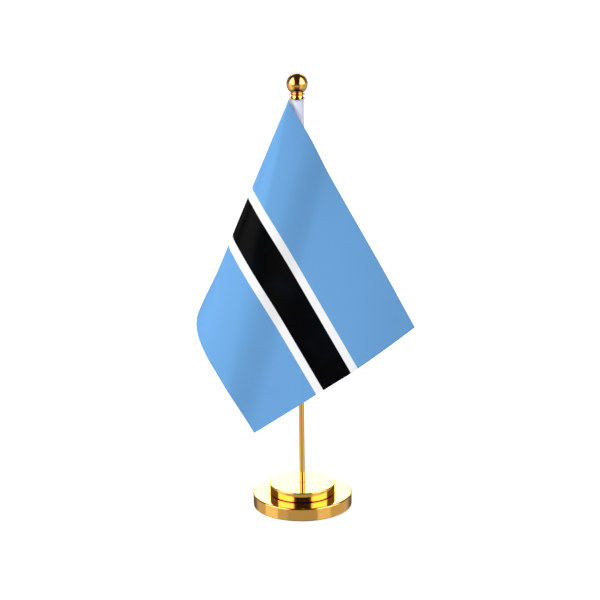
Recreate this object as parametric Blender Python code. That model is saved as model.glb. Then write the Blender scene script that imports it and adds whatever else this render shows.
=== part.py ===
# Desk flag stand: a two-tier weighted base, a thin pole, a turned finial and a small draped flag.
#
# Metres, +Z up. The origin is the centre of the base's underside, on the pole's axis. The front of
# the stand faces -Y, and the flag flies towards +X in front of its own fold.

import math

import bmesh
import bpy
from mathutils import Matrix, Vector

# Clearances
SEAT_GAP = 0.0003          # between pieces that rest on or bear against each other
BORE_GAP = 0.0003          # radial, round a rod or a stud in its hole

# Base
LOWER_DIAMETER = 0.0720
LOWER_HEIGHT = 0.0100      # top of the lower tier above the table
UPPER_DIAMETER = 0.0480
UPPER_HEIGHT = 0.0070      # of the upper tier alone
SHELL_WALL = 0.0008
LOWER_EDGE = 0.0009        # radius of the lower tier's top edge
UPPER_EDGE = 0.0007
RIM_LIFT = 0.0006          # the lower shell's rim stands this far above the table
PAD_THICKNESS = 0.0010
PAD_INSET = 0.0008         # of the pad's edge inside the plate's
PLATE_THICKNESS = 0.0008

# Nut, washers and collar that clamp the base to the pole's foot
RECESS_DEPTH = 0.0036      # pocket in the ballast's underside
RECESS_RADIUS = 0.0060
WASHER_RADIUS = 0.0044
WASHER_THICKNESS = 0.0006
LOCK_WASHER_RADIUS = 0.0030
LOCK_WASHER_THICKNESS = 0.0005
NUT_ACROSS_FLATS = 0.0055
NUT_HEIGHT = 0.0012
COLLAR_RADIUS = 0.0060
COLLAR_HEIGHT = 0.0030

# Pole
POLE_DIAMETER = 0.0040
FOOT_DIAMETER = 0.0030     # threaded foot, below the collar
POLE_CHAMFER = 0.0002

# Finial, with its levels measured down from the ball's centre
BALL_CENTRE_HEIGHT = 0.3110
BALL_RADIUS = 0.00735
UPPER_FLARE_DROP = 0.0071
LOWER_FLARE_DROP = 0.0102
FLARE_LIP = 0.0004         # height of each flare's lip
WAIST_DROP = 0.0002        # from the upper flare's lip to the waist below it
NECK_TOP_RADIUS = 0.0042
WAIST_RADIUS = 0.0040
UPPER_FLARE_RADIUS = 0.0054
LOWER_FLARE_RADIUS = 0.0057
BALL_FLAT_RADIUS = 0.0046  # of the flat that the ball is seated by
STUD_DIAMETER = 0.0022
STUD_IN_POLE = 0.0054      # screwed length: 12 turns of a 0.45 mm thread
STUD_IN_BALL = 0.0040
HOLE_SPARE = 0.0008        # depth of a blind hole past its stud
NYLON_RADIUS = 0.0026      # washer in the neck's underside
NYLON_THICKNESS = 0.0008
POLE_IN_NECK = 0.0006      # how far the pole's end reaches into the neck

# Sleeve, and the rubber ring that keeps it up
SLEEVE_LENGTH = 0.1400
SLEEVE_WIDTH = 0.0094
SLEEVE_DEPTH = 0.0058
SLEEVE_WALL = 0.0004
RING_SECTION = 0.0009      # radius of the ring's round section

# Flag
FLAG_LENGTH = 0.2000       # along the bands
CLOTH_THICKNESS = 0.0005
SEAM_FORWARD = 0.0021      # the seam lies this far in front of the pole's axis
COVER_DEPTH = 0.0017       # further way forward of the layer that covers the sleeve
COVER_REACH = 0.0050       # distance from the corner over which it takes that way
EDGE_TAKE_UP = 0.065       # share of the top edge's length that its hem draws in
# The cloth leaves the hoist's top corner as straight rays. Going round from the seam to the top
# edge, their directions walk along the unit sphere and turn towards the front at these rates.
LEAVE_ANGLE = 1.50         # first heading at the seam, turned from the left to the back
BACK_CURL = 4.69           # turn per radian walked, in the layer behind
FOLD_CURL = 7.71           # in the fold
FRONT_CURL = 0.50          # in the layer in front
FOLD_STARTS = 60.0         # degrees from the top edge, in the flat cloth
FOLD_ENDS = 45.0

# Mesh fineness
BASE_STEPS = 64
SMALL_STEPS = 32
EDGE_STEPS = 3
BALL_RINGS = 18
RAY_STEPS = 90
CELLS_LONG = 25
CELLS_HIGH = 17

# Levels and radii that follow from these
LOWER_RADIUS = LOWER_DIAMETER / 2
UPPER_RADIUS = UPPER_DIAMETER / 2
POLE_RADIUS = POLE_DIAMETER / 2
FOOT_RADIUS = FOOT_DIAMETER / 2
STUD_RADIUS = STUD_DIAMETER / 2
FILL_RADIUS = LOWER_RADIUS - SHELL_WALL - BORE_GAP
PLATE_BOTTOM = PAD_THICKNESS + SEAT_GAP
BALLAST_BOTTOM = PLATE_BOTTOM + PLATE_THICKNESS + SEAT_GAP
BALLAST_TOP = LOWER_HEIGHT - SHELL_WALL - SEAT_GAP
NUT_SEAT = BALLAST_BOTTOM + RECESS_DEPTH
UPPER_BOTTOM = LOWER_HEIGHT + SEAT_GAP
UPPER_TOP = UPPER_BOTTOM + UPPER_HEIGHT
NECK_BOTTOM = BALL_CENTRE_HEIGHT - LOWER_FLARE_DROP - FLARE_LIP
POLE_TOP = NECK_BOTTOM + POLE_IN_NECK
NYLON_BOTTOM = POLE_TOP + SEAT_GAP
SLEEVE_TOP = NECK_BOTTOM - SEAT_GAP
SLEEVE_BOTTOM = SLEEVE_TOP - SLEEVE_LENGTH
COLLAR_BOTTOM = LOWER_HEIGHT + SEAT_GAP
SEAM_SIDE = -(SLEEVE_WIDTH / 2 + SEAT_GAP + CLOTH_THICKNESS / 2)


def clearScene():
    for old in list(bpy.data.objects):
        bpy.data.objects.remove(old, do_unlink=True)


def material(name, colour, roughness, metallic=0.0):
    made = bpy.data.materials.new(name)
    made.use_nodes = True
    shader = made.node_tree.nodes["Principled BSDF"]
    shader.inputs["Base Color"].default_value = (*colour, 1.0)
    shader.inputs["Roughness"].default_value = roughness
    shader.inputs["Metallic"].default_value = metallic
    return made


def linkMesh(name, bm, finish, parent=None):
    """Makes the named object of a finished mesh, shaded smooth with its real corners kept sharp."""
    mesh = bpy.data.meshes.new(name)
    bm.to_mesh(mesh)
    bm.free()
    mesh.shade_smooth()
    mesh.set_sharp_from_angle(angle=math.radians(35))
    mesh.materials.append(finish)
    made = bpy.data.objects.new(name, mesh)
    bpy.context.scene.collection.objects.link(made)
    made.parent = parent
    return made


def eased(outline, steps=EDGE_STEPS):
    """Rounds the corners of a closed (radius, height, easing) outline."""
    points = []
    for i, (x, z, easing) in enumerate(outline):
        corner = Vector((x, z))
        if not easing:
            points.append(corner)
            continue
        back = (Vector(outline[i - 1][:2]) - corner).normalized()
        ahead = (Vector(outline[(i + 1) % len(outline)][:2]) - corner).normalized()
        half = back.angle(ahead) / 2
        centre = corner + (back + ahead).normalized() * (easing / math.sin(half))
        start = corner + back * (easing / math.tan(half)) - centre
        end = corner + ahead * (easing / math.tan(half)) - centre
        swing = -start.angle_signed(end)
        for k in range(steps + 1):
            points.append(centre + Matrix.Rotation(swing * k / steps, 2) @ start)
    return points


def turned(name, outline, finish, steps=SMALL_STEPS, closed=True, parent=None):
    """Spins an outline round the pole's axis: a closed one makes a ring, one from axis to axis a solid."""
    bm = bmesh.new()
    verts = [bm.verts.new((point[0], 0.0, point[1])) for point in outline]
    edges = [bm.edges.new(pair) for pair in zip(verts, verts[1:])]
    if closed:
        edges.append(bm.edges.new((verts[-1], verts[0])))
    bmesh.ops.spin(bm, geom=verts + edges, axis=(0, 0, 1), angle=math.tau, steps=steps, use_merge=True)
    bmesh.ops.remove_doubles(bm, verts=bm.verts, dist=1e-7)
    bmesh.ops.recalc_face_normals(bm, faces=bm.faces)
    return linkMesh(name, bm, finish, parent)


def disc(name, inner, outer, bottom, top, finish, easing=0.0, steps=SMALL_STEPS, parent=None):
    """A flat ring with eased outer corners."""
    outline = [(inner, bottom, 0), (outer, bottom, easing), (outer, top, easing), (inner, top, 0)]
    return turned(name, eased(outline), finish, steps, parent=parent)


def addLowerShell(gold):
    inner = LOWER_RADIUS - SHELL_WALL
    under = LOWER_HEIGHT - SHELL_WALL
    hole = FOOT_RADIUS + BORE_GAP
    outline = [
        (LOWER_RADIUS, LOWER_HEIGHT, LOWER_EDGE),
        (LOWER_RADIUS, RIM_LIFT, SHELL_WALL * 0.4),
        (inner, RIM_LIFT, 0),
        (inner, under, 0),
        (hole, under, 0),
        (hole, LOWER_HEIGHT, 0),
    ]
    turned("base_lower_shell", eased(outline), gold, BASE_STEPS)


def addUpperShell(gold):
    inner = UPPER_RADIUS - SHELL_WALL
    under = UPPER_TOP - SHELL_WALL
    hole = POLE_RADIUS + BORE_GAP
    outline = [
        (UPPER_RADIUS, UPPER_TOP, UPPER_EDGE),
        (UPPER_RADIUS, UPPER_BOTTOM, SHELL_WALL * 0.4),
        (inner, UPPER_BOTTOM, 0),
        (inner, under, 0),
        (hole, under, 0),
        (hole, UPPER_TOP, 0),
    ]
    turned("base_upper_shell", eased(outline), gold, BASE_STEPS)


def addBallast(iron):
    """The weight, with a pocket underneath for the nut and its washers."""
    hole = FOOT_RADIUS + BORE_GAP
    outline = [
        (RECESS_RADIUS, BALLAST_BOTTOM, 0),
        (FILL_RADIUS, BALLAST_BOTTOM, 0.0005),
        (FILL_RADIUS, BALLAST_TOP, 0.0005),
        (hole, BALLAST_TOP, 0),
        (hole, NUT_SEAT, 0),
        (RECESS_RADIUS, NUT_SEAT, 0),
    ]
    turned("ballast_disc", eased(outline), iron, BASE_STEPS)


def addUpperSpacer(plastic):
    """Fills the upper shell, with a pocket underneath for the collar."""
    bottom = COLLAR_BOTTOM
    top = UPPER_TOP - SHELL_WALL - SEAT_GAP
    outer = UPPER_RADIUS - SHELL_WALL - BORE_GAP
    pocket = COLLAR_RADIUS + BORE_GAP
    pocketTop = COLLAR_BOTTOM + COLLAR_HEIGHT + SEAT_GAP
    outline = [
        (pocket, bottom, 0),
        (outer, bottom, 0),
        (outer, top, 0.0004),
        (POLE_RADIUS + BORE_GAP, top, 0),
        (POLE_RADIUS + BORE_GAP, pocketTop, 0),
        (pocket, pocketTop, 0),
    ]
    turned("upper_spacer", eased(outline), plastic, BASE_STEPS)


def addClosingPieces(steel, felt):
    turned("bottom_plate", [
        (0, PLATE_BOTTOM + PLATE_THICKNESS), (FILL_RADIUS, PLATE_BOTTOM + PLATE_THICKNESS),
        (FILL_RADIUS, PLATE_BOTTOM), (0, PLATE_BOTTOM),
    ], steel, BASE_STEPS, closed=False)
    padRadius = FILL_RADIUS - PAD_INSET
    turned("felt_pad", [
        (0, PAD_THICKNESS), (padRadius, PAD_THICKNESS), (padRadius, 0), (0, 0),
    ], felt, BASE_STEPS, closed=False)


def addClampPieces(steel, brass):
    """From the recess's roof down: washer, lock washer, nut. The collar is above the lower shell."""
    bore = FOOT_RADIUS + BORE_GAP
    washerTop = NUT_SEAT - SEAT_GAP
    washerBottom = washerTop - WASHER_THICKNESS
    disc("clamp_washer", bore, WASHER_RADIUS, washerBottom, washerTop, steel)
    lockTop = washerBottom - SEAT_GAP
    lockBottom = lockTop - LOCK_WASHER_THICKNESS
    disc("lock_washer", bore, LOCK_WASHER_RADIUS, lockBottom, lockTop, steel)
    nutTop = lockBottom - SEAT_GAP
    nutBottom = nutTop - NUT_HEIGHT
    addNut("clamp_nut", bore, nutBottom, nutTop, steel)
    disc("pole_collar", bore, COLLAR_RADIUS, COLLAR_BOTTOM, COLLAR_BOTTOM + COLLAR_HEIGHT, brass, 0.0003)


def addNut(name, bore, bottom, top, finish):
    """A hexagon ring, its bore a polygon of the same corners' multiple."""
    bm = bmesh.new()
    sides = 6
    perSide = 4
    count = sides * perSide
    loops = []
    for height in (bottom, top):
        outer = []
        inner = []
        for k in range(count):
            angle = math.tau * k / count
            fromMiddle = (k % perSide) / perSide * math.tau / sides - math.pi / sides
            reach = NUT_ACROSS_FLATS / 2 / math.cos(fromMiddle)
            outer.append(bm.verts.new((reach * math.cos(angle), reach * math.sin(angle), height)))
            inner.append(bm.verts.new((bore * math.cos(angle), bore * math.sin(angle), height)))
        loops.append((outer, inner))
    (outerLow, innerLow), (outerHigh, innerHigh) = loops
    for k in range(count):
        n = (k + 1) % count
        bm.faces.new((outerLow[k], outerLow[n], outerHigh[n], outerHigh[k]))
        bm.faces.new((innerLow[n], innerLow[k], innerHigh[k], innerHigh[n]))
        bm.faces.new((outerHigh[k], outerHigh[n], innerHigh[n], innerHigh[k]))
        bm.faces.new((outerLow[n], outerLow[k], innerLow[k], innerLow[n]))
    bmesh.ops.recalc_face_normals(bm, faces=bm.faces)
    linkMesh(name, bm, finish)


def addPole(gold):
    """A solid rod: a thin threaded foot, a shoulder on the collar, and a tapped hole in its top."""
    footBottom = BALLAST_BOTTOM + SEAT_GAP
    shoulder = COLLAR_BOTTOM + COLLAR_HEIGHT + SEAT_GAP
    bore = STUD_RADIUS + BORE_GAP
    holeBottom = POLE_TOP - STUD_IN_POLE - HOLE_SPARE
    turned("pole", [
        (0, holeBottom), (bore, holeBottom), (bore, POLE_TOP),
        (POLE_RADIUS - POLE_CHAMFER, POLE_TOP), (POLE_RADIUS, POLE_TOP - POLE_CHAMFER),
        (POLE_RADIUS, shoulder), (FOOT_RADIUS, shoulder),
        (FOOT_RADIUS, footBottom + POLE_CHAMFER), (FOOT_RADIUS - POLE_CHAMFER, footBottom), (0, footBottom),
    ], gold, closed=False)


def ballOutline(bore, holeTop):
    """From the top of the ball round to the flat that it is seated by, then up its blind hole."""
    flatAngle = math.asin(BALL_FLAT_RADIUS / BALL_RADIUS)
    points = []
    for k in range(BALL_RINGS + 1):
        angle = (math.pi - flatAngle) * k / BALL_RINGS
        points.append((BALL_RADIUS * math.sin(angle), BALL_CENTRE_HEIGHT + BALL_RADIUS * math.cos(angle)))
    flat = points[-1][1]
    return points + [(bore, flat), (bore, holeTop), (0, holeTop)]


def addFinial(gold, steel, nylon, parent, nylonParent):
    bore = STUD_RADIUS + BORE_GAP
    flatLevel = BALL_CENTRE_HEIGHT - math.sqrt(BALL_RADIUS ** 2 - BALL_FLAT_RADIUS ** 2)
    studTop = flatLevel + STUD_IN_BALL
    turned("finial_ball", ballOutline(bore, studTop + HOLE_SPARE), gold, SMALL_STEPS, False, parent)

    neckTop = flatLevel - SEAT_GAP
    upperLip = BALL_CENTRE_HEIGHT - UPPER_FLARE_DROP
    lowerLip = BALL_CENTRE_HEIGHT - LOWER_FLARE_DROP
    waist = upperLip - FLARE_LIP - WAIST_DROP
    outline = [(bore, neckTop), (NECK_TOP_RADIUS, neckTop)]
    outline += flare(NECK_TOP_RADIUS, neckTop, UPPER_FLARE_RADIUS, upperLip)
    outline += [(UPPER_FLARE_RADIUS, upperLip - FLARE_LIP), (WAIST_RADIUS, waist)]
    outline += flare(WAIST_RADIUS, waist, LOWER_FLARE_RADIUS, lowerLip)
    pocket = NYLON_RADIUS + BORE_GAP
    pocketTop = NYLON_BOTTOM + NYLON_THICKNESS + SEAT_GAP
    outline += [(LOWER_FLARE_RADIUS, NECK_BOTTOM), (pocket, NECK_BOTTOM), (pocket, pocketTop), (bore, pocketTop)]
    turned("finial_neck", outline, gold, parent=parent)

    turned("finial_stud", [
        (0, studTop), (STUD_RADIUS, studTop),
        (STUD_RADIUS, POLE_TOP - STUD_IN_POLE), (0, POLE_TOP - STUD_IN_POLE),
    ], steel, 24, False, parent)
    disc("finial_washer", bore, NYLON_RADIUS, NYLON_BOTTOM, NYLON_BOTTOM + NYLON_THICKNESS, nylon,
         parent=nylonParent)


def flare(fromRadius, fromHeight, toRadius, toHeight, steps=4):
    """A quarter of an ellipse that falls steeply and then opens out like a bell."""
    points = []
    for k in range(1, steps + 1):
        angle = math.pi / 2 * k / steps
        radius = fromRadius + (toRadius - fromRadius) * (1 - math.cos(angle))
        points.append((radius, fromHeight + (toHeight - fromHeight) * math.sin(angle)))
    return points


def addSleeve(white, parent):
    """A flattened tube of cloth round the pole."""
    bm = bmesh.new()
    loops = []
    for inset, height in ((0, SLEEVE_BOTTOM), (0, SLEEVE_TOP), (SLEEVE_WALL, SLEEVE_TOP), (SLEEVE_WALL, SLEEVE_BOTTOM)):
        across = SLEEVE_WIDTH / 2 - inset
        deep = SLEEVE_DEPTH / 2 - inset
        loop = []
        for k in range(SMALL_STEPS):
            angle = math.tau * k / SMALL_STEPS
            loop.append(bm.verts.new((across * math.cos(angle), deep * math.sin(angle), height)))
        loops.append(loop)
    for i, loop in enumerate(loops):
        following = loops[(i + 1) % len(loops)]
        for k in range(SMALL_STEPS):
            n = (k + 1) % SMALL_STEPS
            bm.faces.new((loop[k], loop[n], following[n], following[k]))
    bmesh.ops.recalc_face_normals(bm, faces=bm.faces)
    linkMesh("flag_sleeve", bm, white, parent)


def addStopRing(rubber):
    """A round section on the pole, just under the sleeve."""
    middle = POLE_RADIUS + BORE_GAP + RING_SECTION
    level = SLEEVE_BOTTOM - SEAT_GAP - RING_SECTION
    count = 12
    outline = []
    for k in range(count):
        angle = math.tau * k / count
        outline.append((middle + RING_SECTION * math.cos(angle), level + RING_SECTION * math.sin(angle)))
    turned("sleeve_stop_ring", outline, rubber, SMALL_STEPS)


def rayDirections():
    """Directions of the cloth's rays, from the seam (90 degrees) to the top edge (0)."""
    step = math.pi / 2 / RAY_STEPS
    ray = Vector((0, 0, -1))
    heading = Vector((-math.cos(LEAVE_ANGLE), math.sin(LEAVE_ANGLE), 0))
    rays = [ray.copy()]
    for k in range(RAY_STEPS):
        fromTopEdge = 90 * (1 - (k + 0.5) / RAY_STEPS)
        if fromTopEdge > FOLD_STARTS:
            curl = BACK_CURL
        elif fromTopEdge > FOLD_ENDS:
            curl = FOLD_CURL
        else:
            curl = FRONT_CURL
        ray, heading = (
            ray * math.cos(step) + heading * math.sin(step),
            heading * math.cos(step) - ray * math.sin(step),
        )
        side = ray.cross(heading)
        heading = heading * math.cos(curl * step) - side * math.sin(curl * step)
        rays.append(ray.copy())
    return rays


def clothPoint(rays, along, down):
    """Where the flat cloth's point lies, along the bands from the seam and down from the top edge."""
    corner = Vector((SEAM_SIDE, -SEAM_FORWARD, SLEEVE_TOP))
    reach = math.hypot(along, down)
    if reach == 0:
        return corner
    fromTopEdge = math.degrees(math.atan2(down, along))
    place = (1 - fromTopEdge / 90) * RAY_STEPS
    first = min(int(place), RAY_STEPS - 1)
    ray = rays[first].lerp(rays[first + 1], place - first).normalized()
    takeUp = EDGE_TAKE_UP * max(0.0, 1 - fromTopEdge / 50)
    front = min(1.0, max(0.0, (FOLD_STARTS - fromTopEdge) / 10))
    forward = COVER_DEPTH * front * (1 - math.exp(-reach / COVER_REACH))
    return corner + ray * (reach * (1 - takeUp)) - Vector((0, forward, 0))


def addCloth(blue, parent):
    """The flag as one closed sheet: a grid of the flat cloth, thickened both ways."""
    rays = rayDirections()
    bm = bmesh.new()
    grid = []
    for j in range(CELLS_HIGH + 1):
        row = []
        for i in range(CELLS_LONG + 1):
            along = FLAG_LENGTH * i / CELLS_LONG
            down = SLEEVE_LENGTH * j / CELLS_HIGH
            row.append(bm.verts.new(clothPoint(rays, along, down)))
        grid.append(row)
    for j in range(CELLS_HIGH):
        for i in range(CELLS_LONG):
            bm.faces.new((grid[j][i], grid[j + 1][i], grid[j + 1][i + 1], grid[j][i + 1]))
    cloth = linkMesh("flag_cloth", bm, blue, parent)
    wall = cloth.modifiers.new("thickness", "SOLIDIFY")
    wall.thickness = CLOTH_THICKNESS
    wall.offset = 0.0
    wall.use_even_offset = False


def axisEmpty(name, parent=None):
    """An empty on the pole's axis that carries the pieces turning or lifting together."""
    empty = bpy.data.objects.new(name, None)
    empty.empty_display_size = 0.01
    bpy.context.scene.collection.objects.link(empty)
    empty.parent = parent
    return empty


def main():
    clearScene()
    gold = material("polished_gold", (0.83, 0.58, 0.21), 0.06, 1.0)
    brass = material("brass", (0.72, 0.53, 0.23), 0.25, 1.0)
    steel = material("zinc_steel", (0.60, 0.61, 0.62), 0.35, 1.0)
    iron = material("cast_iron", (0.16, 0.16, 0.17), 0.60, 0.8)
    plastic = material("black_plastic", (0.03, 0.03, 0.03), 0.50)
    felt = material("black_felt", (0.02, 0.02, 0.02), 0.95)
    nylon = material("white_nylon", (0.85, 0.84, 0.80), 0.40)
    rubber = material("clear_rubber", (0.70, 0.70, 0.66), 0.45)
    white = material("white_cloth", (0.88, 0.88, 0.92), 0.60)
    blue = material("light_blue_cloth", (0.16, 0.40, 0.72), 0.50)

    flagTurns = axisEmpty("flag_turns")
    washerLifts = axisEmpty("washer_lifts")
    finialTurns = axisEmpty("finial_turns", washerLifts)

    addLowerShell(gold)
    addUpperShell(gold)
    addBallast(iron)
    addUpperSpacer(plastic)
    addClosingPieces(steel, felt)
    addClampPieces(steel, brass)
    addPole(gold)
    addFinial(gold, steel, nylon, finialTurns, washerLifts)
    addSleeve(white, flagTurns)
    addStopRing(rubber)
    addCloth(blue, flagTurns)


main()
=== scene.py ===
# Desk flag stand: a stepped gold base, a thin pole, a ball finial and a small banded satin flag.
import math

import bmesh
import bpy
from mathutils import Matrix, Vector


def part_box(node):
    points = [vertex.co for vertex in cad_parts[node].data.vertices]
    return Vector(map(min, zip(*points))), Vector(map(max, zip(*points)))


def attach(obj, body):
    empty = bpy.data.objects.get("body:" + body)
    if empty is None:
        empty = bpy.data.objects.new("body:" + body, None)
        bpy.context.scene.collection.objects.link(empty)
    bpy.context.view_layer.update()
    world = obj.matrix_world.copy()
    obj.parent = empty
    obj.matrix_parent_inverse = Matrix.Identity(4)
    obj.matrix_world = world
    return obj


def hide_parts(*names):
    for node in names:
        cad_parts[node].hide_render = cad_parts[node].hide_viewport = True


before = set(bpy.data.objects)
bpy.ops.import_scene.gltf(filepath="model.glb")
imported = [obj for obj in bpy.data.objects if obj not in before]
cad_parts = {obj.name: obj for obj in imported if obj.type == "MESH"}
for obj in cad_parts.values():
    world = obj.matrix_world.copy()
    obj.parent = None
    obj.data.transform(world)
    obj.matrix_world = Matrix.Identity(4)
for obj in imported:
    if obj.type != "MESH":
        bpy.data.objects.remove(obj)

scene = bpy.context.scene
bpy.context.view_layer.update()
mm = 0.001


class Wire:
    # one output of a node; an expression on it adds Math nodes to the same tree
    def __init__(self, graph, socket):
        self.graph = graph
        self.socket = socket

    def calc(self, operation, first, second=0.0):
        return self.graph.node("ShaderNodeMath", {"operation": operation}, {0: first, 1: second})

    def __add__(self, other):
        return self.calc("ADD", self, other)

    def __radd__(self, other):
        return self.calc("ADD", other, self)

    def __sub__(self, other):
        return self.calc("SUBTRACT", self, other)

    def __rsub__(self, other):
        return self.calc("SUBTRACT", other, self)

    def __mul__(self, other):
        return self.calc("MULTIPLY", self, other)

    def __rmul__(self, other):
        return self.calc("MULTIPLY", other, self)

    def __truediv__(self, other):
        return self.calc("DIVIDE", self, other)

    def __rtruediv__(self, other):
        return self.calc("DIVIDE", other, self)

    def __neg__(self):
        return self.calc("SUBTRACT", 0.0, self)

    def sine(self):
        return self.calc("SINE", self)

    def cosine(self):
        return self.calc("COSINE", self)

    def exponent(self):
        return self.calc("EXPONENT", self)

    def root(self):
        return self.calc("SQRT", self)

    def size(self):
        return self.calc("ABSOLUTE", self)

    def atLeast(self, other):
        return self.calc("MAXIMUM", self, other)

    def atMost(self, other):
        return self.calc("MINIMUM", self, other)

    def angleFrom(self, along):
        # of the direction that has this wire beside along
        return self.calc("ARCTAN2", self, along)

    def also(self, name):
        # another output of the same node
        return Wire(self.graph, self.socket.node.outputs[name])

    def blend(self, first, second):
        # this wire is the share of second in the mixture
        return self.graph.node("ShaderNodeMix", {"data_type": "FLOAT"}, {0: self, 2: first, 3: second})

    def ease(self, low, high):
        # 0 below low, 1 above high, smooth between
        return self.graph.node("ShaderNodeMapRange", {"interpolation_type": "SMOOTHSTEP"}, {
            "Value": self, "From Min": low, "From Max": high})


class Graph:
    # a node tree that nodes are added to by type, settings and inputs
    def __init__(self, tree):
        self.tree = tree

    def node(self, kind, settings=None, inputs=None, output=0):
        made = self.tree.nodes.new(kind)
        for key, value in (settings or {}).items():
            setattr(made, key, value)
        for key, value in (inputs or {}).items():
            self.plug(value, made.inputs[key])
        return Wire(self, made.outputs[output])

    def plug(self, value, target):
        if isinstance(value, Wire):
            self.tree.links.new(value.socket, target)
        else:
            target.default_value = value

    def parts(self, vector):
        split = self.node("ShaderNodeSeparateXYZ", None, {0: vector})
        return split, split.also("Y"), split.also("Z")

    def vector(self, x, y, z):
        return self.node("ShaderNodeCombineXYZ", None, {0: x, 1: y, 2: z})

    def join(self, operation, first, second):
        return self.node("ShaderNodeVectorMath", {"operation": operation}, {0: first, 1: second})

    def scaled(self, vector, amount):
        return self.node("ShaderNodeVectorMath", {"operation": "SCALE"}, {0: vector, "Scale": amount})

    def together(self, *pieces):
        made = self.tree.nodes.new("GeometryNodeJoinGeometry")
        for piece in pieces:
            self.tree.links.new(piece.socket, made.inputs[0])
        return Wire(self, made.outputs[0])

    def noise(self, where, scale, detail=2.0, roughness=0.5):
        return self.node("ShaderNodeTexNoise", None,
                         {"Vector": where, "Scale": scale, "Detail": detail, "Roughness": roughness})

    def mix(self, share, first, second):
        return self.node("ShaderNodeMix", {"data_type": "RGBA"}, {0: share, 6: first, 7: second}, output=2)


class Finish(Graph):
    # a material whose fixed values sit on the shader's own sockets
    def __init__(self, name, fixed):
        self.material = bpy.data.materials.new(name)
        self.material.use_nodes = True
        super().__init__(self.material.node_tree)
        self.shader = self.tree.nodes["Principled BSDF"]
        for key, value in fixed.items():
            self.drive(key, value)
        self.place = self.node("ShaderNodeTexCoord", output=3)

    def drive(self, socket, value):
        self.plug(value, self.shader.inputs[socket])

    def bump(self, height, distance, strength):
        raised = self.node("ShaderNodeBump", None, {
            "Height": height, "Distance": distance, "Strength": strength})
        self.drive("Normal", raised)

    def uv(self):
        return self.node("ShaderNodeUVMap", {"uv_map": "flatCloth"})


def colour(r, g, b):
    return (r, g, b, 1.0)


shot = {
    "side": 0.047 * mm,
    "back": 1350 * mm,
    "height": 526.3 * mm,
    "pitch": 0.26805,       # below level
    "roll": -0.01355,
    "lens": 117.6,
    "sensor": 36,
    "nearest": 0.01,
}


def makeCamera():
    data = bpy.data.cameras.new("camera")
    data.lens = shot["lens"]
    data.sensor_width = shot["sensor"]
    data.clip_start = shot["nearest"]
    made = bpy.data.objects.new("camera", data)
    scene.collection.objects.link(made)
    ahead = Vector((0, math.cos(shot["pitch"]), -math.sin(shot["pitch"])))
    right = Vector((1, 0, 0))
    up = right.cross(ahead)
    turn = shot["roll"]
    across = math.cos(turn) * right + math.sin(turn) * up
    upright = math.cos(turn) * up - math.sin(turn) * right
    made.matrix_world = Matrix.Translation((shot["side"], -shot["back"], shot["height"])) @ Matrix(
        (across, upright, -ahead)).transposed().to_4x4()
    scene.camera = made


# how brightly each part of the studio shows in polished metal, and the light that cloth gets
studio = {
    "windows": 3.2,
    "panel": 3.7,
    "gap": 0.03,            # between the windows, in front
    "aroundLow": 0.17,
    "aroundHigh": 0.05,
    "belowCentre": 0.14,
    "belowBand": 0.46,
    "belowSides": 0.60,
    "belowLeft": 1.05,
    "belowRight": 0.86,
    "leftTurn": 79,         # degrees round from the front, of the patches below the horizon
    "rightTurn": 52,
    "ambient": 0.54,
    "ambientTop": 0.25,     # share of it that comes from overhead
    "paper": 0.60,
    "floorRadius": 14,
}


def makeWorld():
    # tall windows left and right and a low panel behind, seen only in polished metal
    world = bpy.data.worlds.new("studio")
    world.use_nodes = True
    scene.world = world
    sky = Graph(world.node_tree)
    background = world.node_tree.nodes["Background"]
    x, y, z = sky.parts(sky.node("ShaderNodeTexCoord"))
    wide = x.size()
    windows = wide.ease(0.42, 0.58) * (1 - y.ease(0.0, 0.14))
    panel = (1 - wide.ease(0.28, 0.45)) * y.ease(0.45, 0.65) * z.ease(0.27, 0.31) * (1 - z.ease(0.41, 0.46))
    gap = (1 - wide.ease(0.30, 0.50)) * (1 - y.ease(0.0, 0.3))
    glow = z.ease(0.35, 0.60).blend(studio["aroundLow"], studio["aroundHigh"])
    glow = gap.blend(glow, studio["gap"])
    glow = windows.blend(glow, studio["windows"])
    glow = panel.blend(glow, studio["panel"])
    # below the horizon: dim in front and underneath, a patch to each side
    turn = x.angleFrom(-y) * (180 / math.pi)
    left = 1 - (turn + studio["leftTurn"]).size().ease(14, 22)
    right = 1 - (turn - studio["rightTurn"]).size().ease(13, 20)
    band = z.ease(-0.55, -0.45) * (1 - z.ease(-0.25, -0.15))
    low = band.blend(studio["belowCentre"], studio["belowBand"])
    low = turn.size().ease(30, 42).blend(low, studio["belowSides"])
    low = turn.size().ease(120, 150).blend(low, studio["belowCentre"])
    low = left.blend(low, studio["belowLeft"])
    low = right.blend(low, studio["belowRight"])
    low = low * z.ease(-0.95, -0.60)
    glow = z.ease(-0.04, 0.02).blend(low, glow)
    ray = sky.node("ShaderNodeLightPath")
    ambient = studio["ambient"] * (1 - studio["ambientTop"] + studio["ambientTop"] * z)
    glow = ray.also("Is Glossy Ray").blend(ambient, glow)
    sky.plug(ray.also("Is Camera Ray").blend(glow, 1.0), background.inputs["Strength"])
    background.inputs["Color"].default_value = colour(1, 1, 1)


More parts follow.
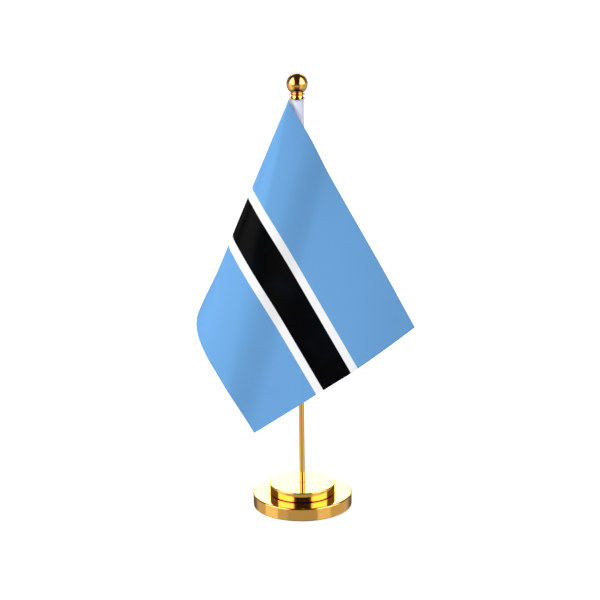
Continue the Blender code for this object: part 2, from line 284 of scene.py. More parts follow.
def makeFloor():
    bm = bmesh.new()
    bmesh.ops.create_circle(bm, cap_ends=True, segments=128, radius=studio["floorRadius"])
    mesh = bpy.data.meshes.new("floor")
    bm.to_mesh(mesh)
    bm.free()
    floor = bpy.data.objects.new("floor", mesh)
    scene.collection.objects.link(floor)
    floor.visible_glossy = False
    paper = Finish("paleFloor", {
        "Roughness": 0.9, "Specular IOR Level": 0.1, "Emission Strength": studio["paper"]})
    grain = paper.noise(paper.place, 900.0, 3.0)
    paper.drive("Base Color", paper.mix(grain, colour(0.90, 0.90, 0.90), colour(0.94, 0.94, 0.94)))
    # the paper glows for the camera alone, so it stays pale without lighting the stand from below
    seen = paper.node("ShaderNodeLightPath")
    paper.drive("Emission Color", paper.mix(seen, colour(0, 0, 0), colour(1, 1, 1)))
    mesh.materials.append(paper.material)


lamps = {
    "key": {"at": (-1.5, -0.75, 0.75), "size": 0.6, "power": 19},
    "fill": {"at": (0.9, -1.4, 0.9), "size": 0.9, "power": 7},
}
lampTarget = (0, 0, 0.2)


def makeLamps():
    for name, lamp in lamps.items():
        data = bpy.data.lights.new(name, "AREA")
        data.shape = "DISK"
        data.size = lamp["size"]
        data.energy = lamp["power"]
        made = bpy.data.objects.new(name, data)
        made.location = lamp["at"]
        towards = Vector(lampTarget) - made.location
        made.rotation_euler = towards.to_track_quat("-Z", "Y").to_euler()
        made.visible_glossy = False
        scene.collection.objects.link(made)


goldLook = {
    "clean": (0.95, 0.52, 0.125),
    "handled": (0.91, 0.49, 0.11),
    "roughness": 0.030,
    "ringScale": 9000.0,
    "ringHeight": 0.0012 * mm,
    "smudgeScale": 60.0,
    "scratchScale": (300.0, 5200.0, 900.0),
}


def goldPlate():
    gold = Finish("goldPlate", {"Metallic": 1.0})
    x, y, z = gold.parts(gold.place)
    radius = (x * x + y * y).root()
    # faint rings left by spinning, and smudges from handling
    fine = goldLook["ringScale"]
    rings = gold.noise(gold.vector(radius * fine, z * fine, 0.0), 1.0, 3.0)
    smudge = gold.noise(gold.place, goldLook["smudgeScale"], 4.0, 0.6).ease(0.48, 0.72)
    wide, deep, high = goldLook["scratchScale"]
    scratch = gold.noise(gold.vector(x * wide, y * deep, z * high), 1.0, 2.0).ease(0.62, 0.75)
    gold.drive("Roughness", goldLook["roughness"] + 0.018 * rings + 0.05 * smudge + 0.04 * scratch)
    gold.drive("Base Color", gold.mix(smudge, colour(*goldLook["clean"]), colour(*goldLook["handled"])))
    gold.bump(rings, goldLook["ringHeight"], 0.25)
    return gold.material


def plainMetal(name, tint, dark, roughness, scale):
    metal = Finish(name, {"Metallic": 1.0})
    patches = metal.noise(metal.place, scale, 4.0, 0.6)
    metal.drive("Base Color", metal.mix(patches, colour(*tint), colour(*dark)))
    metal.drive("Roughness", roughness + 0.15 * patches)
    metal.bump(patches, 0.03 * mm, 0.3)
    return metal.material


def moulded(name, tint, dark, roughness):
    plastic = Finish(name, {})
    grain = plastic.noise(plastic.place, 900.0, 4.0, 0.6)
    plastic.drive("Base Color", plastic.mix(grain, colour(*tint), colour(*dark)))
    plastic.drive("Roughness", roughness + 0.1 * grain)
    plastic.bump(grain, 0.02 * mm, 0.5)
    return plastic.material


def feltFinish():
    felt = Finish("blackFelt", {"Sheen Weight": 0.5, "Roughness": 0.95})
    fibres = felt.noise(felt.place, 1800.0, 5.0, 0.75)
    clumps = felt.noise(felt.place, 250.0, 2.0)
    nap = felt.mix(fibres * clumps, colour(0.008, 0.008, 0.009), colour(0.05, 0.05, 0.055))
    felt.drive("Base Color", nap)
    felt.bump(fibres, 0.25 * mm, 0.8)
    return felt.material


flagPrint = {
    "blue": (0.150, 0.372, 0.700),
    "white": (0.91, 0.92, 0.93),
    "black": (0.0008, 0.0008, 0.0009),
    "parts": 24,           # the flag's height in equal parts
    "whiteFrom": 9,
    "blackFrom": 10,
    "softness": 0.0012,    # of a printed edge, as a share of the height
    "warpPitch": 0.28 * mm,
    "weftPitch": 0.22 * mm,
    "twillPitch": 0.9 * mm,
    "weaveHeight": 0.01 * mm,
    "sealedFrom": 0.6 * mm,   # width of the heat-sealed line along the cut edges
    "sealedFull": 0.3 * mm,
    "sealedTint": (0.03, 0.08, 0.16),
}


def bandedSatin(length, height):
    satin = Finish("bandedSatin", {"Specular IOR Level": 0.05})
    along, down, rest = satin.parts(satin.uv())
    share = flagPrint["parts"]
    fromMiddle = (down - 0.5).size()
    soft = flagPrint["softness"]
    whiteEdge = 0.5 - flagPrint["whiteFrom"] / share
    blackEdge = 0.5 - flagPrint["blackFrom"] / share
    outside = fromMiddle.ease(whiteEdge - soft, whiteEdge + soft)
    inside = 1 - fromMiddle.ease(blackEdge - soft, blackEdge + soft)
    warp = (along * (math.tau * length / flagPrint["warpPitch"])).sine()
    weft = (down * (math.tau * height / flagPrint["weftPitch"])).sine()
    twill = ((along * length + down * height) * (math.tau / flagPrint["twillPitch"])).sine()
    cloud = satin.noise(satin.vector(along * length * 40.0, down * height * 40.0, 0.0), 1.0, 3.0)
    slub = satin.noise(satin.vector(along * length * 60.0, down * height * 3000.0, 0.0), 1.0, 2.0)
    base = satin.mix(outside, colour(*flagPrint["white"]), colour(*flagPrint["blue"]))
    base = satin.mix(inside, base, colour(*flagPrint["black"]))
    # the cut edges are sealed by heat, which leaves a thin darker line
    fromSide = along.atMost(1 - along) * length
    fromTop = down.atMost(1 - down) * height
    sealed = 1 - fromSide.atMost(fromTop).ease(flagPrint["sealedFull"], flagPrint["sealedFrom"])
    shade = 0.10 * (cloud - 0.5).atLeast(0.0) + 0.06 * (slub - 0.5).atLeast(0.0) + 0.30 * sealed
    base = satin.mix(shade, base, colour(*flagPrint["sealedTint"]))
    satin.drive("Base Color", base)
    satin.drive("Roughness", 0.46 + 0.05 * twill + 0.05 * (slub - 0.5))
    satin.bump(warp * 0.4 + weft * 0.6 + twill * 0.3, flagPrint["weaveHeight"], 0.35)
    return satin.material


def whiteSatin():
    satin = Finish("whiteSatin", {"Sheen Weight": 0.3, "Sheen Roughness": 0.3, "Specular IOR Level": 0.35})
    x, y, z = satin.parts(satin.place)
    weft = (z * (math.tau / sleeve["weftPitch"])).sine()
    slub = satin.noise(satin.vector(x * 900.0, y * 900.0, z * 3500.0), 1.0, 3.0)
    satin.drive("Base Color", satin.mix(slub, colour(0.73, 0.74, 0.99), colour(0.82, 0.83, 1.0)))
    satin.drive("Roughness", 0.45 + 0.1 * slub)
    satin.bump(weft + slub, flagPrint["weaveHeight"], 0.4)
    return satin.material


def threadFinish(name, tint):
    thread = Finish(name, {"Sheen Weight": 0.3, "Roughness": 0.6})
    ply = thread.noise(thread.place, 4000.0, 2.0)
    thread.drive("Base Color", thread.mix(ply, colour(*tint), colour(*[0.8 * c for c in tint])))
    return thread.material


def easedOutline(corners, steps=8, hold=0.00004):
    # rounds each (radius, height, easing) corner, and holds the flats beside it flat
    points = []
    for i, (x, z, easing) in enumerate(corners):
        corner = Vector((x, z))
        back = (Vector(corners[i - 1][:2]) - corner).normalized()
        ahead = (Vector(corners[(i + 1) % len(corners)][:2]) - corner).normalized()
        half = back.angle(ahead) / 2
        cut = easing / math.tan(half)
        points.append(corner + back * (cut + hold))
        if easing:
            centre = corner + (back + ahead).normalized() * (easing / math.sin(half))
            start = corner + back * cut - centre
            swing = -start.angle_signed(corner + ahead * cut - centre)
            points += [centre + Matrix.Rotation(swing * k / steps, 2) @ start for k in range(steps + 1)]
        else:
            points.append(corner)
        points.append(corner + ahead * (cut + hold))
    return points


def turnedMesh(name, outline, finish, closed=True, steps=192):
    bm = bmesh.new()
    verts = [bm.verts.new((point[0], 0.0, point[1])) for point in outline]
    edges = [bm.edges.new(pair) for pair in zip(verts, verts[1:])]
    if closed:
        edges.append(bm.edges.new((verts[-1], verts[0])))
    bmesh.ops.spin(bm, geom=verts + edges, axis=(0, 0, 1), angle=math.tau, steps=steps, use_merge=True)
    bmesh.ops.remove_doubles(bm, verts=bm.verts, dist=1e-8)
    bmesh.ops.recalc_face_normals(bm, faces=bm.faces)
    return linkMesh(name, bm, finish)


def linkMesh(name, bm, finish, sharp=40):
    mesh = bpy.data.meshes.new(name)
    bm.to_mesh(mesh)
    bm.free()
    mesh.shade_smooth()
    mesh.set_sharp_from_angle(angle=math.radians(sharp))
    mesh.materials.append(finish)
    made = bpy.data.objects.new(name, mesh)
    scene.collection.objects.link(made)
    return made


def place(piece, body, slot, *nodes):
    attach(piece, body)
    if nodes:
        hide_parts(*nodes)


tiers = {
    "wall": 0.8 * mm,
    "lowerEdge": 0.9 * mm,
    "upperEdge": 0.7 * mm,
    "rimEdge": 0.6 * mm,
    "lowerHole": 1.8 * mm,
    "upperHole": 2.3 * mm,
    "holeEdge": 0.12 * mm,
    "steps": 256,
}


def makeTier(name, node, edge, hole, gold):
    low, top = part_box(node)
    outer = top.x
    inner = outer - tiers["wall"]
    under = top.z - tiers["wall"]
    outline = easedOutline([
        (outer, top.z, edge), (outer, low.z, tiers["rimEdge"]), (inner, low.z, 0),
        (inner, under, 0), (hole, under, 0), (hole, top.z, tiers["holeEdge"]),
    ])
    place(turnedMesh(name, outline, gold, steps=tiers["steps"]), "stand", "polished_gold", node)


poleShape = {
    "foot": 1.5 * mm,
    "shoulder": 13.6 * mm,
    "chamfer": 0.2 * mm,
    "bore": 1.4 * mm,
    "boreDepth": 6.2 * mm,
    "steps": 96,
}


def makePole(gold):
    low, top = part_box("pole")
    radius = top.x
    foot = poleShape["foot"]
    chamfer = poleShape["chamfer"]
    floor = top.z - poleShape["boreDepth"]
    outline = [
        (0, floor), (poleShape["bore"], floor), (poleShape["bore"], top.z), (radius - chamfer, top.z),
        (radius, top.z - chamfer), (radius, top.z - 2 * chamfer), (radius, poleShape["shoulder"]),
        (foot, poleShape["shoulder"]), (foot, low.z + chamfer), (foot - chamfer, low.z), (0, low.z),
    ]
    rod = turnedMesh("poleRod", outline, gold, closed=False, steps=poleShape["steps"])
    place(rod, "stand", "polished_gold", "pole")


finial = {
    "ballRings": 96,
    "flatRadius": 4.6 * mm,
    "neckTop": 4.2 * mm,
    "waist": 4.0 * mm,
    "upperFlare": 5.4 * mm,
    "lowerFlare": 5.7 * mm,
    "lip": 0.4 * mm,
    "upperDrop": 7.1 * mm,
    "lowerDrop": 10.2 * mm,
    "waistDrop": 0.2 * mm,
    "bore": 1.4 * mm,
    "ballHole": 4.8 * mm,
    "washerGap": 0.3 * mm,
}


def flareCurve(fromRadius, fromHeight, toRadius, toHeight, steps=16):
    points = []
    for k in range(1, steps + 1):
        angle = math.pi / 2 * k / steps
        radius = fromRadius + (toRadius - fromRadius) * (1 - math.cos(angle))
        points.append((radius, fromHeight + (toHeight - fromHeight) * math.sin(angle)))
    return points


def makeFinial(gold):
    low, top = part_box("finial_ball")
    radius = top.x
    centre = top.z - radius
    flatAngle = math.asin(finial["flatRadius"] / radius)
    outline = []
    for k in range(finial["ballRings"] + 1):
        angle = (math.pi - flatAngle) * k / finial["ballRings"]
        outline.append((radius * math.sin(angle), centre + radius * math.cos(angle)))
    holeTop = low.z + finial["ballHole"]
    outline += [(finial["bore"], low.z), (finial["bore"], holeTop), (0, holeTop)]
    place(turnedMesh("finialBall", outline, gold, closed=False), "finial", "polished_gold", "finial_ball")

    neckLow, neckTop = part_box("finial_neck")
    upperLip = centre - finial["upperDrop"]
    lowerLip = centre - finial["lowerDrop"]
    lip = finial["lip"]
    waist = upperLip - lip - finial["waistDrop"]
    bore = finial["bore"]
    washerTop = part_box("finial_washer")[1]
    pocket = washerTop.x + finial["washerGap"]
    pocketTop = washerTop.z + finial["washerGap"]
    outline = [(bore, neckTop.z), (finial["neckTop"], neckTop.z)]
    outline += flareCurve(finial["neckTop"], neckTop.z, finial["upperFlare"], upperLip)
    outline += roundLip(finial["upperFlare"], upperLip, lip)
    outline += [(finial["waist"], waist)]
    outline += flareCurve(finial["waist"], waist, finial["lowerFlare"], lowerLip)
    outline += roundLip(finial["lowerFlare"], lowerLip, lowerLip - neckLow.z)
    outline += [(pocket, neckLow.z), (pocket, pocketTop), (bore, pocketTop)]
    place(turnedMesh("finialNeck", outline, gold), "finial", "polished_gold", "finial_neck")


def roundLip(radius, height, lip, steps=6):
    # half a turn of a thin rim, from its upper side to its lower one
    points = []
    half = lip / 2
    for k in range(steps + 1):
        angle = math.pi * k / steps
        points.append((radius - half + half * math.sin(angle), height - half + half * math.cos(angle)))
    return points


# The cloth hangs in straight rays from its top corner. Going round from the hoist to the top edge,
# the rays lean over and come back to the front, which makes the fold. A turn is how hard they bend,
# beside the angle from the top edge that the bend starts at. The fold is tight near the corner.
cloth = {
    "length": 200 * mm,
    "height": 140 * mm,
    "thickness": 0.22 * mm,
    "cellsAlong": 240,
    "cellsDown": 168,
    "foldRounding": 4,
    "cornerSide": -6.2 * mm,
    "cornerForward": 2.4 * mm,
    "cornerRise": 1.0 * mm,
    "coverDepth": 1.7 * mm,
    "coverReach": 5.0 * mm,
    "takeUp": 0.065,
    "leaveAngle": 1.50,
    "softTurns": [(91, 4.69), (60, 7.71), (45, 0.50)],
    "tightTurns": [(91, 2.169), (82, 9.407), (70, 0.056), (54, 30.86), (50, 0.50)],
    "tightUntil": 85 * mm,
    "softFrom": 165 * mm,
    "coverStarts": 60,      # degrees from the top edge
    "coverFull": 50,
    "stepDepth": 5.4 * mm,  # of the crease beside the fold
    "stepTurn": 0.764,
    "stepStart": 17 * mm,
    "stepEnd": 46 * mm,
    "valley": 0.9 * mm,
    "riseHeight": 5.2 * mm,
    "riseEnd": 120 * mm,
    "swellReach": 70 * mm,
    "swellFull": 0.70,      # turned this far from the top edge, fading out towards the fold
    "swellEnds": 0.86,
    "pucker": 0.35 * mm,
    "puckerRate": 900.0,
    "puckerWidth": 12 * mm,
    "threadTint": (0.86, 0.87, 0.93),
}


def makeRayPath(name, leaveAngle, turns, steps=360):
    # the directions of the rays, as a curve on the unit sphere
    step = math.pi / 2 / steps
    ray = Vector((0, 0, -1))
    heading = Vector((-math.cos(leaveAngle), math.sin(leaveAngle), 0))
    rays = [ray]
    for k in range(steps):
        fromTopEdge = 90 * (1 - (k + 0.5) / steps)
        curl = [bend for start, bend in turns if fromTopEdge < start][-1]
        ray, heading = (
            ray * math.cos(step) + heading * math.sin(step),
            heading * math.cos(step) - ray * math.sin(step),
        )
        side = ray.cross(heading)
        heading = heading * math.cos(curl * step) - side * math.sin(curl * step)
        rays.append(ray)
    curve = bpy.data.curves.new(name, "CURVE")
    curve.dimensions = "3D"
    spline = curve.splines.new("POLY")
    spline.points.add(len(rays) - 1)
    for point, ray in zip(spline.points, rays):
        point.co = (*ray, 1.0)
    made = bpy.data.objects.new(name, curve)
    scene.collection.objects.link(made)
    return made


def newTree(name, inputs):
    # inputs are (name, socket type, default); the first output is always the geometry
    tree = bpy.data.node_groups.new(name, "GeometryNodeTree")
    tree.interface.new_socket("Geometry", in_out="INPUT", socket_type="NodeSocketGeometry")
    tree.interface.new_socket("Geometry", in_out="OUTPUT", socket_type="NodeSocketGeometry")
    for label, kind, default in inputs:
        socket = tree.interface.new_socket(label, in_out="INPUT", socket_type=kind)
        if default is not None:
            socket.default_value = default
    graph = Graph(tree)
    given = graph.node("NodeGroupInput")
    return graph, given.also


def endTree(graph, geometry, finish):
    real = graph.node("GeometryNodeRealizeInstances", None, {0: geometry})
    painted = graph.node("GeometryNodeSetMaterial", None, {"Geometry": real, "Material": finish})
    out = graph.tree.nodes.new("NodeGroupOutput")
    graph.plug(painted, out.inputs[0])
    return graph.tree


def runTree(name, base, tree, values):
    # puts the tree on an object, sets its inputs, and returns the result as a plain mesh object
    modifier = base.modifiers.new(name, "NODES")
    modifier.node_group = tree
    for item in tree.interface.items_tree:
        if item.item_type == "SOCKET" and item.in_out == "INPUT" and item.name in values:
            modifier[item.identifier] = values[item.name]
    shown = base.evaluated_get(bpy.context.evaluated_depsgraph_get())
    mesh = bpy.data.meshes.new_from_object(shown)
    mesh.name = name
    base.modifiers.remove(modifier)
    made = bpy.data.objects.new(name, mesh)
    scene.collection.objects.link(made)
    return made


def drapeInputs():
    real = "NodeSocketFloat"
    return [
        ("Length", real, 0.2), ("Height", real, 0.14), ("Tight Path", "NodeSocketObject", None),
        ("Soft Path", "NodeSocketObject", None), ("Tight Until", real, 0.08), ("Soft From", real, 0.16),
        ("Corner", "NodeSocketVector", None), ("Take Up", real, 0.05), ("Cover Depth", real, 0.002),
        ("Cover Reach", real, 0.005), ("Cover Starts", real, 1.0), ("Cover Full", real, 0.9),
        ("Step Depth", real, 0.003),
        ("Step Turn", real, 0.7), ("Step Start", real, 0.01), ("Step End", real, 0.04),
        ("Valley", real, 0.002), ("Rise Height", real, 0.004), ("Rise End", real, 0.12),
        ("Swell Reach", real, 0.07), ("Swell Full", real, 0.7), ("Swell Ends", real, 0.86),
        ("Pucker", real, 0.0003), ("Pucker Rate", real, 900.0), ("Pucker Width", real, 0.012),
        ("Thickness", real, 0.0002), ("Finish", "NodeSocketMaterial", None),
    ]


def hungPlace(graph, given, along, down):
    # where a point of the flat cloth hangs, before its crease and puckers
    reach = (along * along + down * down).root()
    angle = down.angleFrom(along)
    rays = []
    for label in ("Tight Path", "Soft Path"):
        path = graph.node("GeometryNodeObjectInfo", {"transform_space": "ORIGINAL"}, {"Object": given(label)})
        sample = graph.node("GeometryNodeSampleCurve", {"mode": "FACTOR"}, {
            "Curves": path.also("Geometry"), "Factor": 1 - angle / (math.pi / 2)})
        rays.append(sample.also("Position"))
    # the fold is sharp near the corner and opens into a roll further down
    loose = reach.ease(given("Tight Until"), given("Soft From"))
    ray = graph.node("ShaderNodeMix", {"data_type": "VECTOR"}, {0: loose, 4: rays[0], 5: rays[1]}, output=1)
    drawn = 1 - given("Take Up") * (1 - angle / given("Cover Full")).atLeast(0.0)
    fade = (given("Cover Starts") - angle) / (given("Cover Starts") - given("Cover Full"))
    front = fade.atLeast(0.0).atMost(1.0)
    settle = 1 - (-reach / given("Cover Reach")).exponent()
    forward = graph.vector(0.0, -given("Cover Depth") * front * settle, 0.0)
    straight = graph.join("NORMALIZE", ray, ray)
    hung = graph.join("ADD", graph.scaled(straight, reach * drawn), forward)
    return graph.join("ADD", hung, given("Corner"))


def surface(graph, given, along, down):
    # the finished place, with the cloth's normal and its downward direction there
    nudge = 0.4 * mm
    here = hungPlace(graph, given, along, down)
    beside = graph.join("SUBTRACT", hungPlace(graph, given, along + nudge, down), here)
    below = graph.join("SUBTRACT", hungPlace(graph, given, along, down + nudge), here)
    normal = graph.join("CROSS_PRODUCT", below, beside)
    normal = graph.join("NORMALIZE", normal, normal)
    reach = (along * along + down * down).root()
    angle = down.angleFrom(along)
    # the front layer steps back along one soft crease beside the fold, and rises again past it
    across = along * given("Step Turn").cosine() - down * given("Step Turn").sine()
    crest = 1 - across.ease(given("Step Start"), given("Step End"))
    rise = across.ease(given("Step End") - 5 * mm, given("Rise End"))
    lifted = crest * given("Step Depth") + rise * given("Rise Height") - given("Valley")
    inFront = 1 - angle.ease(given("Swell Full"), given("Swell Ends"))
    swell = lifted * reach.ease(0.0, given("Swell Reach")) * inFront
    # the seam puckers a little
    nearSeam = (1 - along.ease(0.0, given("Pucker Width"))) * along.ease(0.0, 2 * mm)
    gather = (down * given("Pucker Rate")).sine() * given("Pucker") * nearSeam
    return graph.join("ADD", here, graph.scaled(normal, swell + gather)), normal, below


def clothTree():
    graph, given = newTree("drapedCloth", drapeInputs() + [
        ("Cells Along", "NodeSocketInt", 160), ("Cells Down", "NodeSocketInt", 112),
        ("Fold Rounding", "NodeSocketInt", 4),
    ])
    grid = graph.node("GeometryNodeMeshGrid", None, {
        "Size X": given("Length"), "Size Y": given("Height"),
        "Vertices X": given("Cells Along") + 1, "Vertices Y": given("Cells Down") + 1,
    })
    x, y, z = graph.parts(graph.node("GeometryNodeInputPosition"))
    along = x + given("Length") / 2
    down = given("Height") / 2 - y
    # the flat place is kept for the print, before anything moves
    printed = graph.node("GeometryNodeStoreNamedAttribute", {"data_type": "FLOAT2", "domain": "CORNER"}, {
        "Geometry": grid, "Name": "flatCloth",
        "Value": graph.vector(along / given("Length"), down / given("Height"), 0.0)})
    draped, normal, below = surface(graph, given, along, down)
    creased = graph.node("GeometryNodeSetPosition", None, {"Geometry": printed, "Position": draped})
    # the fold is rounded off a little, so that it does not step from one cell to the next
    angle = down.angleFrom(along)
    nearFold = angle.ease(0.60, 0.75) * (1 - angle.ease(1.15, 1.35))
    rounded = graph.node("GeometryNodeBlurAttribute", {"data_type": "FLOAT_VECTOR"}, {
        "Value": graph.node("GeometryNodeInputPosition"),
        "Iterations": given("Fold Rounding"), "Weight": nearFold})
    hung = graph.node("GeometryNodeSetPosition", None, {"Geometry": creased, "Position": rounded})
    inward = graph.scaled(graph.node("GeometryNodeInputNormal"), given("Thickness") * -0.5)
    sheet = graph.node("GeometryNodeSetPosition", None, {"Geometry": hung, "Offset": inward})
    thick = graph.node("GeometryNodeExtrudeMesh", {"mode": "FACES"}, {
        "Mesh": sheet, "Offset Scale": given("Thickness"), "Individual": False})
    back = graph.node("GeometryNodeFlipFaces", None, {0: sheet})
    closed = graph.node("GeometryNodeMergeByDistance", None, {
        "Geometry": graph.together(thick, back), "Distance": 1e-6})
    return endTree(graph, closed, given("Finish"))


def stitchTree():
    # a row of stitches down each side of the cloth, one side and then the other
    real = "NodeSocketFloat"
    graph, given = newTree("seamStitches", drapeInputs() + [
        ("Row Along", real, 0.002), ("Row Top", real, 0.004), ("Row Bottom", real, 0.136),
        ("Pitch", real, 0.002), ("Stitch Length", real, 0.0018), ("Thread Radius", real, 0.0001),
        ("Slant", real, 0.0), ("Jitter", real, 0.05), ("Seed", "NodeSocketInt", 3),
    ])
    half = given("Stitch Length") / 2
    bow = given("Thread Radius") * 1.5
    arch = graph.node("GeometryNodeCurveQuadraticBezier", None, {
        "Resolution": 5, "Start": graph.vector(-bow, 0.0, -half),
        "Middle": graph.vector(bow, 0.0, 0.0), "End": graph.vector(-bow, 0.0, half)})
    ring = graph.node("GeometryNodeCurvePrimitiveCircle", None, {
        "Resolution": 6, "Radius": given("Thread Radius")})
    stitch = graph.node("GeometryNodeCurveToMesh", None, {
        "Curve": arch, "Profile Curve": ring, "Fill Caps": True})
    rows = []
    for side in (1.0, -1.0):
        count = (given("Row Bottom") - given("Row Top")) / given("Pitch")
        points = graph.node("GeometryNodeMeshLine", None, {"Count": count})
        index = graph.node("GeometryNodeInputIndex")
        down = given("Row Top") + given("Pitch") * index
        middle, normal, below = surface(graph, given, given("Row Along"), down)
        lift = given("Thickness") / 2 + given("Thread Radius") * 0.4
        outward = graph.scaled(normal, lift * side)
        laid = graph.node("GeometryNodeSetPosition", None, {
            "Geometry": points, "Position": graph.join("ADD", middle, outward)})
        turned = graph.node("FunctionNodeAxesToRotation", {"primary_axis": "Z", "secondary_axis": "X"}, {
            "Primary Axis": below, "Secondary Axis": graph.scaled(normal, side)})
        parity = graph.node("ShaderNodeMath", {"operation": "MODULO"}, {0: index, 1: 2.0})
        loose = graph.node("FunctionNodeRandomValue", {"data_type": "FLOAT"}, {
            "Min": -1.0, "Max": 1.0, "Seed": given("Seed")}, output=1)
        lean = (parity * 2 - 1) * given("Slant") + loose * given("Jitter")
        swing = graph.node("FunctionNodeEulerToRotation", None, {0: graph.vector(lean, 0.0, 0.0)})
        leaning = graph.node("FunctionNodeRotateRotation", {"rotation_space": "LOCAL"}, {0: turned, 1: swing})
        rows.append(graph.node("GeometryNodeInstanceOnPoints", None, {
            "Points": graph.node("GeometryNodeMeshToPoints", None, {"Mesh": laid}),
            "Instance": stitch, "Rotation": leaning}))
    return endTree(graph, graph.together(*rows), given("Finish"))


def emptyBase(name):
    base = bpy.data.objects.new(name, bpy.data.meshes.new(name))
    scene.collection.objects.link(base)
    return base


def makeCloth(threads):
    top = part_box("flag_sleeve")[1].z
    tight = makeRayPath("tightPath", cloth["leaveAngle"], cloth["tightTurns"])
    soft = makeRayPath("softPath", cloth["leaveAngle"], cloth["softTurns"])
    base = emptyBase("clothBase")
    drape = {
        "Length": cloth["length"], "Height": cloth["height"], "Tight Path": tight, "Soft Path": soft,
        "Tight Until": cloth["tightUntil"], "Soft From": cloth["softFrom"],
        "Corner": (cloth["cornerSide"], -cloth["cornerForward"], top + cloth["cornerRise"]),
        "Take Up": cloth["takeUp"], "Cover Depth": cloth["coverDepth"], "Cover Reach": cloth["coverReach"],
        "Cover Starts": math.radians(cloth["coverStarts"]), "Cover Full": math.radians(cloth["coverFull"]),
        "Step Depth": cloth["stepDepth"],
        "Step Turn": cloth["stepTurn"], "Step Start": cloth["stepStart"], "Step End": cloth["stepEnd"],
        "Valley": cloth["valley"], "Rise Height": cloth["riseHeight"], "Rise End": cloth["riseEnd"],
        "Swell Reach": cloth["swellReach"], "Swell Full": cloth["swellFull"],
        "Swell Ends": cloth["swellEnds"],
        "Pucker": cloth["pucker"], "Pucker Rate": cloth["puckerRate"], "Pucker Width": cloth["puckerWidth"],
        "Thickness": cloth["thickness"],
    }
    satin = bandedSatin(cloth["length"], cloth["height"])
    flag = runTree("flagCloth", base, clothTree(), drape | {
        "Cells Along": cloth["cellsAlong"], "Cells Down": cloth["cellsDown"],
        "Fold Rounding": cloth["foldRounding"], "Finish": satin})
    flag.data.shade_smooth()
    flag.data.set_sharp_from_angle(angle=math.radians(50))
    place(flag, "flag", "banded_cloth", "flag_cloth")
    print("cloth:", len(flag.data.polygons), "faces")
    sewing = stitchTree()
    rows = []
    for name, row in threads.items():
        thread = threadFinish(name, cloth["threadTint"])
        made = runTree(name, base, sewing, drape | row | {"Finish": thread})
        made.data.shade_smooth()
        place(made, "flag", "white_cloth")
        rows.append(made)
        print(name + ":", len(made.data.polygons), "faces")
    for helper in (base, tight, soft):
        bpy.data.objects.remove(helper)
    return flag, rows


seamThreads = {
    "overcastSeam": {"Row Along": 1.3 * mm, "Row Top": 5 * mm, "Row Bottom": 137 * mm, "Pitch": 1.5 * mm,
                     "Stitch Length": 2.6 * mm, "Thread Radius": 0.11 * mm, "Slant": 0.62, "Seed": 4},
    "lockSeam": {"Row Along": 3.8 * mm, "Row Top": 8 * mm, "Row Bottom": 137 * mm, "Pitch": 2.3 * mm,
                 "Stitch Length": 1.9 * mm, "Thread Radius": 0.10 * mm, "Slant": 0.0, "Seed": 9},
}


sleeve = {
    "wall": 0.3 * mm,
    "around": 96,
    "up": 150,
    "ripple": 0.12 * mm,
    "noseWidth": 0.42,      # radians, of the part drawn out to the seam
    "weftPitch": 0.24 * mm,
}


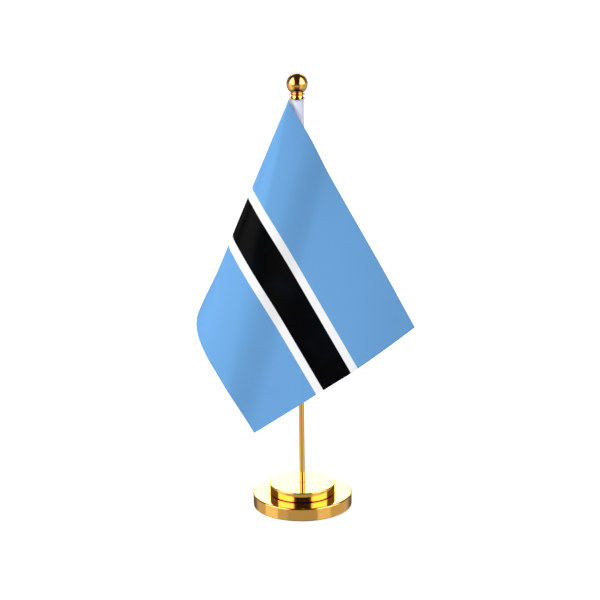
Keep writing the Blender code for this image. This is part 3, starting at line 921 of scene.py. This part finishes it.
def makeSleeve(finish):
    low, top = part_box("flag_sleeve")
    half = (top.x - low.x) / 2
    deep = (top.y - low.y) / 2
    bm = bmesh.new()
    loops = []
    seamSide = cloth["cornerSide"] + cloth["thickness"]
    rows = [(0.0, k / sleeve["up"]) for k in range(sleeve["up"] + 1)]
    rows += [(sleeve["wall"], 1 - k / sleeve["up"]) for k in range(sleeve["up"] + 1)]
    for inset, share in rows:
        loop = []
        height = low.z + (top.z - low.z) * share
        for k in range(sleeve["around"]):
            angle = math.tau * k / sleeve["around"]
            wave = math.sin(5 * angle + height * 210) + math.sin(3 * angle - height * 330)
            slack = sleeve["ripple"] * (wave / 2 - 1)
            # the side towards the seam is drawn out to the edge of the cloth
            nose = math.exp(-(((angle - math.pi) / sleeve["noseWidth"]) ** 2))
            x = (half - inset + slack) * math.cos(angle) + (seamSide + half + slack) * nose
            y = (deep - inset + slack) * math.sin(angle) - cloth["cornerForward"] * nose
            loop.append(bm.verts.new((x, y, height)))
        loops.append(loop)
    for i, loop in enumerate(loops):
        following = loops[(i + 1) % len(loops)]
        for k in range(sleeve["around"]):
            n = (k + 1) % sleeve["around"]
            bm.faces.new((loop[k], loop[n], following[n], following[k]))
    bmesh.ops.recalc_face_normals(bm, faces=bm.faces)
    place(linkMesh("hoistSleeve", bm, finish), "flag", "white_cloth", "flag_sleeve")


def paintHidden():
    # what the covers hide keeps its own shape, and gets its finish
    zinc = plainMetal("zincPlate", (0.62, 0.63, 0.65), (0.50, 0.51, 0.53), 0.28, 400.0)
    finishes = {
        "ballast_disc": plainMetal("castIron", (0.13, 0.13, 0.135), (0.07, 0.07, 0.07), 0.55, 700.0),
        "upper_spacer": moulded("blackPlastic", (0.025, 0.025, 0.026), (0.04, 0.04, 0.04), 0.45),
        "bottom_plate": zinc,
        "felt_pad": feltFinish(),
        "clamp_washer": zinc,
        "lock_washer": zinc,
        "clamp_nut": zinc,
        "pole_collar": plainMetal("turnedBrass", (0.76, 0.56, 0.26), (0.62, 0.44, 0.18), 0.22, 900.0),
        "sleeve_stop_ring": moulded("clearRubber", (0.66, 0.66, 0.62), (0.58, 0.58, 0.55), 0.40),
        "finial_washer": moulded("whiteNylon", (0.84, 0.83, 0.79), (0.78, 0.77, 0.72), 0.35),
        "finial_stud": zinc,
    }
    for node, finish in finishes.items():
        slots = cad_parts[node].data.materials
        slots.clear()
        slots.append(finish)


def main():
    makeCamera()
    makeWorld()
    makeFloor()
    makeLamps()
    print("studio: camera, floor and", len(lamps), "lamps")
    gold = goldPlate()
    makeTier("lowerTier", "base_lower_shell", tiers["lowerEdge"], tiers["lowerHole"], gold)
    makeTier("upperTier", "base_upper_shell", tiers["upperEdge"], tiers["upperHole"], gold)
    makePole(gold)
    makeFinial(gold)
    print("metal: tiers, pole and finial")
    flag, rows = makeCloth(seamThreads)
    makeSleeve(whiteSatin())
    print("sleeve on the pole")
    paintHidden()
    print("hidden pieces painted")
    scene.view_settings.view_transform = "Standard"


main()
